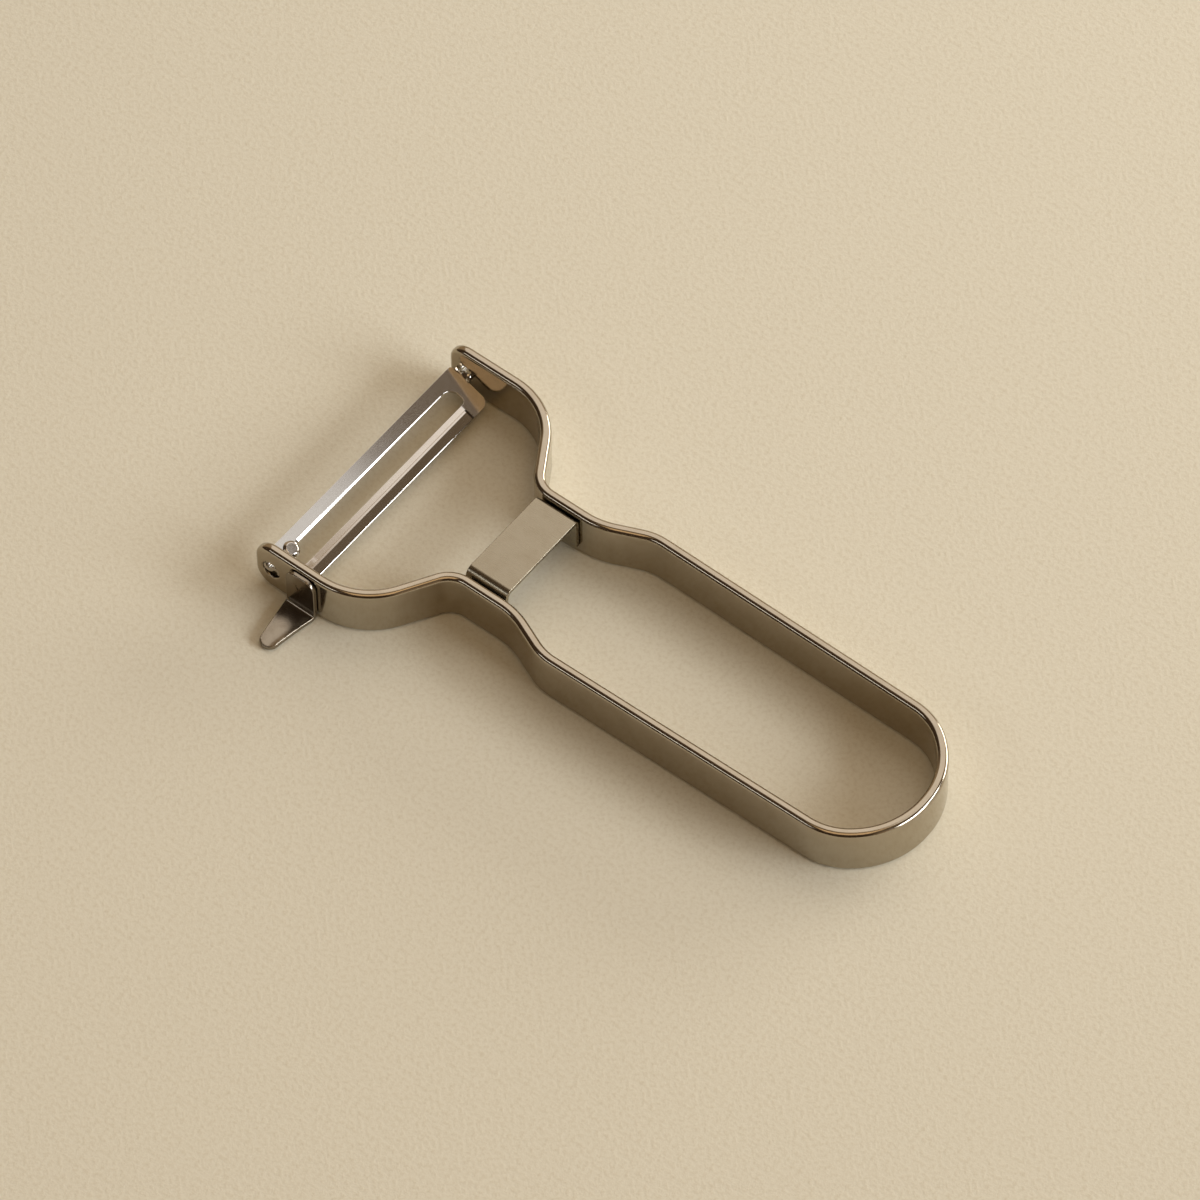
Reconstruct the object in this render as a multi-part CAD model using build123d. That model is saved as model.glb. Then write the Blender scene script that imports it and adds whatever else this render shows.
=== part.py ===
"""Vegetable peeler with a Y-shaped head, made of bent stainless steel sheet and strip.

The frame is one flat strip bent on edge: two ears, a flare, a neck and a long loop for the hand.
A folded bridge is welded across the neck and an eye remover is welded outside one ear. The slotted
blade turns on two rolled tongues, one in a hole through each ear.

Lengths are in millimetres and angles in degrees. The origin is on the table, under the middle of
the strip at the butt of the loop. +X runs along the handle to the ears, +Y to the side with the eye
remover, and +Z up.
"""
import os
from math import radians, sqrt, tan

from build123d import *

# Frame: the bent strip. Widths are measured outside. Runs are lengths along X between the corners
# of its centre line.
overall_length = 120.0
head_width = 53.6
neck_width = 24.4
rail_front_width = 32.1
rail_rear_width = 30.8
strip_thickness = 2.0
strip_height = 10.0
strip_edge_share = 0.4
ear_run = 21.1
flare_run = 8.85
neck_run = 12.85
swell_run = 8.9
butt_run = 8.5
butt_corner_share = 0.486
ear_bend_radius = 13.2
neck_front_radius = 5.0
neck_rear_radius = 14.0
rail_bend_radius = 10.0
butt_side_radius = 11.5
butt_end_radius = 14.8
bend_fit_share = 0.99
ear_corner_radius = 3.5

# Pivot: a hole through each ear, and the clearance round the tongues that turn in it.
pivot_from_front = 3.4
pivot_height = 4.7
pivot_hole_diameter = 3.5
pivot_hole_edge_radius = 0.3
pivot_clearance = 0.07

# Welds: the pieces welded to the strip stand off it by the height of their weld nuggets.
weld_gap = 0.15
weld_diameter = 2.4
weld_mark_diameter = 1.7
weld_mark_depth = 0.12

# Bridge: a folded sheet across the neck. Its +Y flange leans out from its fold to the wall.
bridge_behind_neck_corner = 1.1
bridge_width = 8.55
bridge_sheet = 0.8
bridge_below_rim = 0.6
bridge_fold_gap = 0.85
bridge_fold_radius = 1.6
bridge_tight_fold_radius = 1.1
bridge_foot_height = 1.5
bridge_foot_radius = 1.0
bridge_weld_height = 4.0

# Blade: reaches are measured across the blade from its pivot axis, heights from its mid sheet.
blade_tilt = 23.5
blade_sheet = 0.6
blade_end_gap = 0.95
blade_front_reach = 2.55
blade_front_corner_radius = 0.8
blade_rear_corner_radius = 1.8
cutting_bar_width = 2.5
cutting_bevel_width = 0.5
cutting_bevel_drop = 0.2
cutting_edge_thickness = 0.08
slot_width = 3.55
guard_ridge_width = 0.92
guard_crown_width = 0.43
guard_facet_width = 1.2
guard_lip_width = 0.4
guard_ridge_rise = 0.12
guard_crown_rise = 0.03
guard_facet_drop = 0.14
guard_lip_drop = 0.16
guard_plain_margin = 4.05
guard_boss_margin = 1.9
slot_plain_margin = 2.95
slot_boss_margin = 1.7
slot_front_radius = 2.0
slot_rear_radius = 0.9
boss_from_end = 2.35
boss_diameter = 3.0
boss_top_diameter = 2.1
boss_rise = 0.45

# Tongues: the blade's ends are rolled into an S that fills the pivot holes.
tongue_sheet = 0.75
tongue_root_length = 1.0
tongue_end_recess = 0.25

# Eye remover: a plate on the ear's outer wall, folded out into a dished, tapering scoop.
remover_from_front = 7.4
remover_width = 6.0
remover_sheet = 0.8
remover_below_rim = 0.6
remover_corner_radius = 2.0
remover_lift = 0.2
remover_fold_radius = 1.4
remover_weld_height = 6.5
scoop_length = 9.7
scoop_tip_radius = 1.75
scoop_dish_radius = 4.5

# One overrun carries every cut clear of what it cuts.
overrun = 1.0

# Places worked out from the sizes above.
front_x = overall_length - strip_thickness / 2
strip_edge_radius = strip_thickness * strip_edge_share
ear_offset = (head_width - strip_thickness) / 2
neck_offset = (neck_width - strip_thickness) / 2
rail_front_offset = (rail_front_width - strip_thickness) / 2
rail_rear_offset = (rail_rear_width - strip_thickness) / 2
butt_offset = rail_rear_offset * butt_corner_share
flare_x = front_x - ear_run
neck_x = flare_x - flare_run
swell_x = neck_x - neck_run
rail_x = swell_x - swell_run
ear_inner = ear_offset - strip_thickness / 2
ear_outer = ear_offset + strip_thickness / 2
neck_inner = neck_offset - strip_thickness / 2
pivot_x = front_x - pivot_from_front
pivot_radius = pivot_hole_diameter / 2
tongue_radius = pivot_radius - pivot_clearance
bridge_x = neck_x - bridge_behind_neck_corner - bridge_width / 2
bridge_top = strip_height - bridge_below_rim
bridge_half = neck_inner - weld_gap
blade_end = ear_inner - blade_end_gap
slot_front = blade_front_reach - cutting_bar_width
slot_rear = slot_front - slot_width
guard_crown_x = slot_rear - guard_ridge_width
guard_facet_x = guard_crown_x - guard_crown_width
guard_lip_x = guard_facet_x - guard_facet_width
blade_rear = guard_lip_x - guard_lip_width
boss_y = blade_end - boss_from_end
remover_x = front_x - remover_from_front - remover_width / 2
remover_wall = ear_outer + weld_gap
remover_face = remover_wall + remover_sheet


def disc_along_y(diameter, x, z, from_y, to_y):
    """A disc whose axis runs along Y, from one distance off the middle plane to another."""
    disc = Cylinder(diameter / 2, abs(to_y - from_y), rotation=(90, 0, 0))
    return Pos(x, (from_y + to_y) / 2, z) * disc


def fitted_radii(corners, radii):
    """Bend radii, made smaller where two neighbouring bends need more than the run between them."""
    runs = [end - start for start, end in zip(corners, corners[1:])]
    tangents = [
        radius * tan(radians(before.get_angle(after)) / 2)
        for radius, before, after in zip(radii, runs, runs[1:])
    ]
    needs = [0, *tangents, 0]
    shares = [
        min(1, run.length * bend_fit_share / (before + after))
        for run, before, after in zip(runs, needs, needs[1:])
    ]
    return [radius * min(before, after) for radius, before, after in zip(radii, shares, shares[1:])]


def frame_centre_line():
    """The strip's centre line, from one ear's tip plate round the loop to the other's."""
    side = [
        (pivot_x - pivot_from_front, ear_offset),
        (flare_x, ear_offset),
        (neck_x, neck_offset),
        (swell_x, neck_offset),
        (rail_x, rail_front_offset),
        (butt_run, rail_rear_offset),
        (0, butt_offset),
    ]
    side_radii = [
        ear_bend_radius,
        neck_front_radius,
        neck_rear_radius,
        rail_bend_radius,
        butt_side_radius,
        butt_end_radius,
    ]
    corners = [Vector(x, -y) for x, y in side] + [Vector(x, y) for x, y in reversed(side)]
    radii = fitted_radii(corners, side_radii + side_radii[::-1])
    return FilletPolyline(*corners, radius=radii)


def ear_tip():
    """The tip of the ear at +Y: as far behind the pivot hole as in front, with rounded edges."""
    outline = Pos(pivot_x, strip_height / 2) * Rectangle(2 * pivot_from_front, strip_height)
    outline = fillet(outline.vertices().group_by(Axis.X)[-1], ear_corner_radius)
    plate = extrude(Plane.XZ * outline, strip_thickness / 2, both=True)
    plate = Pos(0, ear_offset, 0) * plate
    rear_edges = plate.faces().sort_by(Axis.X)[0].edges()
    plate = fillet(plate.faces().filter_by(Axis.Y).edges() - rear_edges, strip_edge_radius)
    plate -= disc_along_y(pivot_hole_diameter, pivot_x, pivot_height, 0, ear_outer + overrun)
    outer_face = plate.faces().filter_by(Axis.Y).sort_by(Axis.Y)[-1]
    return fillet(outer_face.inner_wires().edges(), pivot_hole_edge_radius)


def frame_strip():
    """The bent strip: one rounded section swept along its centre line between the two ear tips."""
    line = frame_centre_line()
    start = Plane(origin=line @ 0, x_dir=(0, 0, 1), z_dir=line % 0)
    section = start * RectangleRounded(strip_height, strip_thickness, strip_edge_radius)
    strip = Pos(0, 0, strip_height / 2) * sweep(section, path=line)
    tip = ear_tip()
    return strip + tip + mirror(tip, about=Plane.XZ)


def bridge():
    """The bridge: a sheet folded down each wall of the neck, one weld on each flange."""
    middle = bridge_sheet / 2
    foot = (bridge_half - middle, bridge_foot_height)
    top = (neck_inner - bridge_fold_gap - middle, bridge_top - middle)
    corners = [
        (middle - bridge_half, bridge_foot_height),
        (middle - bridge_half, bridge_top - middle),
        top,
        foot,
    ]
    radii = [bridge_tight_fold_radius - middle, bridge_fold_radius - middle]
    line = FilletPolyline(*corners, radius=radii)
    piece = extrude(Plane.YZ * trace(line, bridge_sheet), bridge_width / 2, both=True)
    piece = Pos(bridge_x, 0, 0) * piece
    feet = [
        edge
        for edge in piece.faces().filter_by(Axis.X).edges()
        if edge.length < 2 * bridge_sheet and edge.center().Z < bridge_foot_height + bridge_sheet
    ]
    piece = fillet(feet, bridge_foot_radius)
    lean = (foot[0] - top[0]) / (top[1] - foot[1])
    leaning_y = foot[0] - (bridge_weld_height - bridge_foot_height) * lean
    for side, sheet_y in ((-1, bridge_half - middle), (1, leaning_y)):
        mark_y = side * (sheet_y - middle + weld_mark_depth)
        piece += disc_along_y(weld_diameter, bridge_x, bridge_weld_height, mark_y, side * neck_inner)
        piece -= disc_along_y(weld_mark_diameter, bridge_x, bridge_weld_height, 0, mark_y)
    return piece


def blade_plan():
    """The flat blade seen square on: its outline less the slot, X forwards and Y along it."""
    middle = (blade_front_reach + blade_rear) / 2
    plan = Pos(middle, 0) * Rectangle(blade_front_reach - blade_rear, 2 * blade_end)
    plan = fillet(plan.vertices().group_by(Axis.X)[-1], blade_front_corner_radius)
    plan = fillet(plan.vertices().group_by(Axis.X)[0], blade_rear_corner_radius)
    slot_start = slot_plain_margin - blade_end
    slot_end = blade_end - slot_boss_margin
    slot = Rectangle(slot_width, slot_end - slot_start)
    slot = Pos((slot_front + slot_rear) / 2, (slot_start + slot_end) / 2) * slot
    slot = fillet(slot.vertices().group_by(Axis.X)[-1], slot_front_radius)
    slot = fillet(slot.vertices().group_by(Axis.X)[0], slot_rear_radius)
    return plan - slot + Pos(0, boss_y) * Circle(boss_diameter / 2)


def cutting_bevel():
    """What grinding takes off both faces of the cutting bar, along its edge at the slot."""
    bevel_x = slot_front + cutting_bevel_width
    past_x = slot_front - overrun
    edge_top = blade_sheet / 2 - cutting_bevel_drop
    ground = Sketch()
    for side, edge in ((1, edge_top), (-1, edge_top - cutting_edge_thickness)):
        face = side * blade_sheet / 2
        past = side * (blade_sheet / 2 + overrun)
        corners = [(slot_front, edge), (bevel_x, face), (bevel_x, past), (past_x, past), (past_x, edge)]
        ground += make_face(Polyline(*corners, close=True))
    start = slot_plain_margin - blade_end + slot_front_radius
    end = boss_y - boss_diameter / 2
    return Pos(0, (start + end) / 2, 0) * extrude(Plane.XZ * ground, (end - start) / 2, both=True)


def guard_profile():
    """The guard bar cut across: a ridge by the slot, its crown, a ground facet and a lip."""
    crown = blade_sheet / 2 + guard_ridge_rise
    facet = crown + guard_crown_rise
    lip = facet - guard_facet_drop
    top = [
        (slot_rear, blade_sheet / 2),
        (guard_crown_x, crown),
        (guard_facet_x, facet),
        (guard_lip_x, lip),
        (blade_rear, lip - guard_lip_drop),
    ]
    underside = [(x, height - blade_sheet) for x, height in reversed(top)]
    return make_face(Polyline(*top, *underside, close=True))


def tongue_profile():
    """The rolled end cut across: two half rings in an S, trimmed to the round of the hole."""
    bend_radius = tongue_radius / 2
    ring = Circle(bend_radius + tongue_sheet / 2) - Circle(bend_radius - tongue_sheet / 2)
    reach = pivot_hole_diameter
    lower = Pos(bend_radius, 0) * ring & Pos(0, -reach / 2) * Rectangle(2 * reach, reach)
    upper = Pos(-bend_radius, 0) * ring & Pos(0, reach / 2) * Rectangle(2 * reach, reach)
    return (lower + upper) & Circle(tongue_radius)


def blade():
    """The blade, tilted on its pivot axis: slotted sheet, guard bar, boss and two rolled tongues."""
    piece = extrude(blade_plan(), blade_sheet / 2, both=True) - cutting_bevel()
    guard_length = 2 * blade_end - guard_plain_margin - guard_boss_margin
    guard_y = (guard_plain_margin - guard_boss_margin) / 2
    guard_space = Box(slot_rear - blade_rear, guard_length, blade_sheet + overrun)
    piece -= Pos((slot_rear + blade_rear) / 2, guard_y, 0) * guard_space
    piece += Pos(0, guard_y, 0) * extrude(Plane.XZ * guard_profile(), guard_length / 2, both=True)
    boss = Cone(boss_diameter / 2, boss_top_diameter / 2, boss_rise)
    piece += Pos(0, boss_y, (blade_sheet + boss_rise) / 2) * boss
    root = blade_end - tongue_root_length
    tongue_length = ear_outer - tongue_end_recess - root
    tongue = extrude(Plane.XZ * tongue_profile(), tongue_length / 2, both=True)
    for side in (-1, 1):
        piece += Pos(0, side * (root + tongue_length / 2), 0) * tongue
    return Pos(pivot_x, 0, pivot_height) * Rot(0, -blade_tilt, 0) * piece


def scoop():
    """The eye remover's scoop: flat at the fold, dished to the tip, tapering to a round end."""
    half = remover_width / 2
    fold_end = remover_wall + remover_fold_radius
    tip = remover_face + scoop_length
    rise = scoop_dish_radius - sqrt(scoop_dish_radius**2 - half**2)
    low = remover_lift
    high = remover_lift + remover_sheet
    flat = Plane.XZ.offset(-fold_end) * Pos(0, (low + high) / 2) * Rectangle(remover_width, high - low)
    dished = make_face([
        ThreePointArc((-half, low + rise), (0, low), (half, low + rise)),
        Line((half, low + rise), (half, high + rise)),
        ThreePointArc((half, high + rise), (0, high), (-half, high + rise)),
        Line((-half, high + rise), (-half, low + rise)),
    ])
    body = loft([flat, Plane.XZ.offset(-tip - overrun) * dished], ruled=True)
    taper = Polyline(
        (-half, fold_end),
        (-scoop_tip_radius, tip - scoop_tip_radius),
        (scoop_tip_radius, tip - scoop_tip_radius),
        (half, fold_end),
        close=True,
    )
    plan = make_face(taper) + Pos(0, tip - scoop_tip_radius) * Circle(scoop_tip_radius)
    return body & extrude(plan, strip_height)


def folded_plate():
    """The eye remover's plate: upright outside the ear, with round top corners and its fold."""
    top = strip_height - remover_below_rim
    fold_z = remover_lift + remover_fold_radius
    inner_radius = remover_fold_radius - remover_sheet
    outer_arc = JernArc((remover_wall, fold_z), (0, -1), remover_fold_radius, 90)
    inner_arc = JernArc((remover_face, fold_z), (0, -1), inner_radius, 90)
    profile = make_face([
        Line((remover_wall, top), outer_arc @ 0),
        outer_arc,
        Line(outer_arc @ 1, inner_arc @ 1),
        inner_arc,
        Line(inner_arc @ 0, (remover_face, top)),
        Line((remover_face, top), (remover_wall, top)),
    ])
    plate = extrude(Plane.YZ * profile, remover_width / 2, both=True)
    return fillet(plate.edges().filter_by(Axis.Y).group_by(Axis.Z)[-1], remover_corner_radius)


def eye_remover():
    """The eye remover in its place outside the +Y ear, with its weld."""
    piece = Pos(remover_x, 0, 0) * (folded_plate() + scoop())
    mark_y = remover_face - weld_mark_depth
    piece += disc_along_y(weld_diameter, remover_x, remover_weld_height, ear_outer, mark_y)
    mark = disc_along_y(
        weld_mark_diameter, remover_x, remover_weld_height, mark_y, remover_face + overrun
    )
    return piece - mark


if __name__ == "__main__":
    os.makedirs("parts", exist_ok=True)
    pieces = {
        "frame_strip": frame_strip(),
        "bridge": bridge(),
        "blade": blade(),
        "eye_remover": eye_remover(),
    }
    for name, piece in pieces.items():
        export_step(piece, f"parts/{name}.step")
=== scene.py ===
"""Looks for the all-steel vegetable peeler: its strip, bridge, blade and eye remover, in the CAD frame.

Sizes are in millimetres and angles in degrees, and MM turns a size into Blender's metres. +X runs
along the handle to the ears, +Y to the side with the eye remover, and +Z up from the table.
"""
import logging
from dataclasses import dataclass
from enum import Enum
from math import asin, cos, degrees, hypot, pi, radians, sin, tan
from typing import Callable

import bmesh
import bpy
from mathutils import Matrix, Vector

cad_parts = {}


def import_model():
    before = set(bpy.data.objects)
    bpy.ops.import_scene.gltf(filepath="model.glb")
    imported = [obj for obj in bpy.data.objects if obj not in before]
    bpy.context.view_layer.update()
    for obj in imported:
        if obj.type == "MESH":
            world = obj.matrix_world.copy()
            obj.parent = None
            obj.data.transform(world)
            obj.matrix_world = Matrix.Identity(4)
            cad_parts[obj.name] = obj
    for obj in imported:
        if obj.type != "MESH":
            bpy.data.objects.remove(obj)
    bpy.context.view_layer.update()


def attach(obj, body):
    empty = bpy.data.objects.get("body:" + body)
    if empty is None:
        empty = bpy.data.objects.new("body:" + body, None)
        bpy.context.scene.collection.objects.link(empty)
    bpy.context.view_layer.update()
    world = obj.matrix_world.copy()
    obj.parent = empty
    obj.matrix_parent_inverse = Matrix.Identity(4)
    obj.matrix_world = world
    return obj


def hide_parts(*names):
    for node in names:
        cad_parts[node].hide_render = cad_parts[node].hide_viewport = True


LOG = logging.getLogger("peeler")
MM = 0.001
MERGE_DISTANCE = 0.0005
NEAR = 0.02
SMOOTH_ANGLE = 32.0
SHARP_ANGLE = 40.0
BREAK_SEGMENTS = 3
# The strengths of a noise pattern between which one tone, or one polish, gives way to another.
TONE_LIMITS = (0.45, 0.8)
POLISH_LIMITS = (0.25, 0.75)

Point = tuple[float, float, float]


def hex_to_linear(code: str) -> tuple[float, float, float, float]:
    """Turns an sRGB hex colour into linear light.

    Args:
        code: Six hex digits, red first.

    Returns:
        The linear red, green and blue, and an alpha of 1.
    """
    values = [int(code[i:i + 2], 16) / 255 for i in (0, 2, 4)]
    linear = [v / 12.92 if v <= 0.04045 else ((v + 0.055) / 1.055) ** 2.4 for v in values]
    return linear[0], linear[1], linear[2], 1.0


def bearing(azimuth: float, elevation: float) -> Vector:
    """Gives the way from the object to what stands around it.

    Args:
        azimuth: Its turn about the upright, in degrees, from -Y towards +X.
        elevation: Its height over the table, in degrees.

    Returns:
        A vector of length 1.
    """
    turn, climb = radians(azimuth), radians(elevation)
    return Vector((sin(turn) * cos(climb), -cos(turn) * cos(climb), sin(climb)))


def make_active(obj: bpy.types.Object) -> None:
    """Makes an object the active one and the only one selected, as operators need.

    Args:
        obj: The object.
    """
    bpy.ops.object.select_all(action="DESELECT")
    bpy.context.view_layer.objects.active = obj
    obj.select_set(True)


class Bench:
    """One mesh object on the workbench, held in edit mode while it is shaped."""

    def __init__(self, name: str) -> None:
        """Names the piece that the next primitive starts.

        Args:
            name: The object's name.
        """
        self.name = name
        self.obj: bpy.types.Object | None = None
        if bpy.context.object and bpy.context.object.mode != "OBJECT":
            bpy.ops.object.mode_set(mode="OBJECT")
        bpy.ops.object.select_all(action="DESELECT")

    def take(self) -> "Bench":
        """Takes the primitive that was just added, and opens it for editing.

        Returns:
            The bench itself.
        """
        self.obj = bpy.context.object
        self.obj.name = self.name
        self.obj.data.name = self.name
        bpy.ops.object.transform_apply(location=True, rotation=True, scale=True)
        bpy.ops.object.mode_set(mode="EDIT")
        return self

    def plane(self, centre: Point, size: tuple[float, float], turn: Point = (0, 0, 0)) -> "Bench":
        """Starts from a rectangle.

        Args:
            centre: Its middle, in millimetres.
            size: Its width and length, in millimetres, before it is turned.
            turn: Its turn about X, Y and Z, in degrees.

        Returns:
            The bench itself.
        """
        bpy.ops.mesh.primitive_plane_add(
            size=1, location=[v * MM for v in centre], rotation=[radians(v) for v in turn]
        )
        bpy.context.object.scale = (size[0] * MM, size[1] * MM, 1)
        return self.take()

    def disc(self, centre: Point, radii: tuple[float, float], depth: float, sides: int,
             turn: Point = (0, 0, 0)) -> "Bench":
        """Starts from a disc or a frustum.

        Args:
            centre: Its middle, in millimetres.
            radii: The radii of its low and high ends, in millimetres.
            depth: Its height, in millimetres.
            sides: How many sides stand for its round.
            turn: Its turn about X, Y and Z, in degrees.

        Returns:
            The bench itself.
        """
        bpy.ops.mesh.primitive_cone_add(
            vertices=sides, radius1=radii[0] * MM, radius2=radii[1] * MM, depth=depth * MM,
            location=[v * MM for v in centre], rotation=[radians(v) for v in turn],
        )
        return self.take()

    def select(self, kind: str, test: Callable[..., bool]) -> None:
        """Selects vertices or edges by their place.

        Args:
            kind: VERT or EDGE.
            test: Says whether one is chosen, from a vertex's place or an edge's two ends, in
                millimetres.
        """
        bpy.ops.mesh.select_mode(type=kind)
        bpy.ops.mesh.select_all(action="DESELECT")
        mesh = bmesh.from_edit_mesh(self.obj.data)
        for element in mesh.verts if kind == "VERT" else mesh.edges:
            ends = (element,) if kind == "VERT" else element.verts
            if test(*(end.co / MM for end in ends)):
                element.select_set(True)
        mesh.select_flush_mode()
        bmesh.update_edit_mesh(self.obj.data)

    def select_whole(self) -> None:
        """Selects every face."""
        bpy.ops.mesh.select_mode(type="FACE")
        bpy.ops.mesh.select_all(action="SELECT")

    def extrude(self, move: Point) -> None:
        """Extrudes the selection by a move in millimetres."""
        bpy.ops.mesh.extrude_region_move(TRANSFORM_OT_translate={"value": [v * MM for v in move]})

    def extrude_edges(self, move: Point) -> None:
        """Extrudes the selected edges by a move in millimetres."""
        bpy.ops.mesh.extrude_edges_move(TRANSFORM_OT_translate={"value": [v * MM for v in move]})

    def spin(self, centre: Point, axis: Point, angle: float, steps: int) -> None:
        """Spins the selection round a centre.

        Args:
            centre: A point on the axis, in millimetres.
            axis: The axis to turn about.
            angle: How far to turn, in degrees, by the right-hand rule.
            steps: How many steps the turn is made in.
        """
        bpy.ops.mesh.spin(
            steps=steps, angle=-radians(angle), center=[v * MM for v in centre], axis=axis
        )

    def bevel(self, kind: str, width: float, segments: int) -> None:
        """Rounds the selected edges or corners.

        Args:
            kind: EDGES or VERTICES.
            width: The rounding's reach from the edge, in millimetres.
            segments: How many faces make the round.
        """
        bpy.ops.mesh.bevel(
            affect=kind, offset=width * MM, offset_type="OFFSET", segments=segments,
            profile=0.5, clamp_overlap=False,
        )

    def cut(self, point: Point, normal: Point) -> None:
        """Cuts the whole mesh along a plane, and keeps both sides."""
        bpy.ops.mesh.select_all(action="SELECT")
        bpy.ops.mesh.bisect(
            plane_co=[v * MM for v in point], plane_no=normal, threshold=MERGE_DISTANCE * MM
        )

    def shape(self, move: Callable[[Vector], Vector]) -> None:
        """Moves every vertex.

        Args:
            move: Gives a vertex's new place from its old one, both in millimetres.
        """
        mesh = bmesh.from_edit_mesh(self.obj.data)
        for vert in mesh.verts:
            vert.co = move(vert.co / MM) * MM
        bmesh.update_edit_mesh(self.obj.data)

    def reopen(self, obj: bpy.types.Object) -> "Bench":
        """Opens a finished piece again.

        Args:
            obj: The object.

        Returns:
            The bench itself.
        """
        self.obj = obj
        make_active(obj)
        bpy.ops.object.mode_set(mode="EDIT")
        return self

    def merge(self) -> None:
        """Merges doubled vertices."""
        bpy.ops.mesh.select_all(action="SELECT")
        bpy.ops.mesh.remove_doubles(threshold=MERGE_DISTANCE * MM)

    def close(self) -> bpy.types.Object:
        """Merges doubled vertices, turns the faces outwards and leaves edit mode.

        Returns:
            The object.
        """
        self.merge()
        bpy.ops.mesh.normals_make_consistent(inside=False)
        bpy.ops.object.mode_set(mode="OBJECT")
        return self.obj


def modify(obj: bpy.types.Object, kind: str, **settings: object) -> None:
    """Adds a modifier and applies it.

    Args:
        obj: The object.
        kind: The modifier's type.
        settings: Its settings.
    """
    make_active(obj)
    bpy.ops.object.modifier_add(type=kind)
    modifier = obj.modifiers[-1]
    for name, value in settings.items():
        setattr(modifier, name, value)
    bpy.ops.object.modifier_apply(modifier=modifier.name)


def combine(obj: bpy.types.Object, tool: bpy.types.Object, operation: str) -> None:
    """Cuts with, adds or keeps what is shared with a tool, and then deletes the tool.

    Args:
        obj: The object.
        tool: The tool, a closed mesh.
        operation: DIFFERENCE, UNION or INTERSECT.
    """
    modify(obj, "BOOLEAN", object=tool, operation=operation, solver="MANIFOLD")
    bpy.data.objects.remove(tool)


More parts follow.
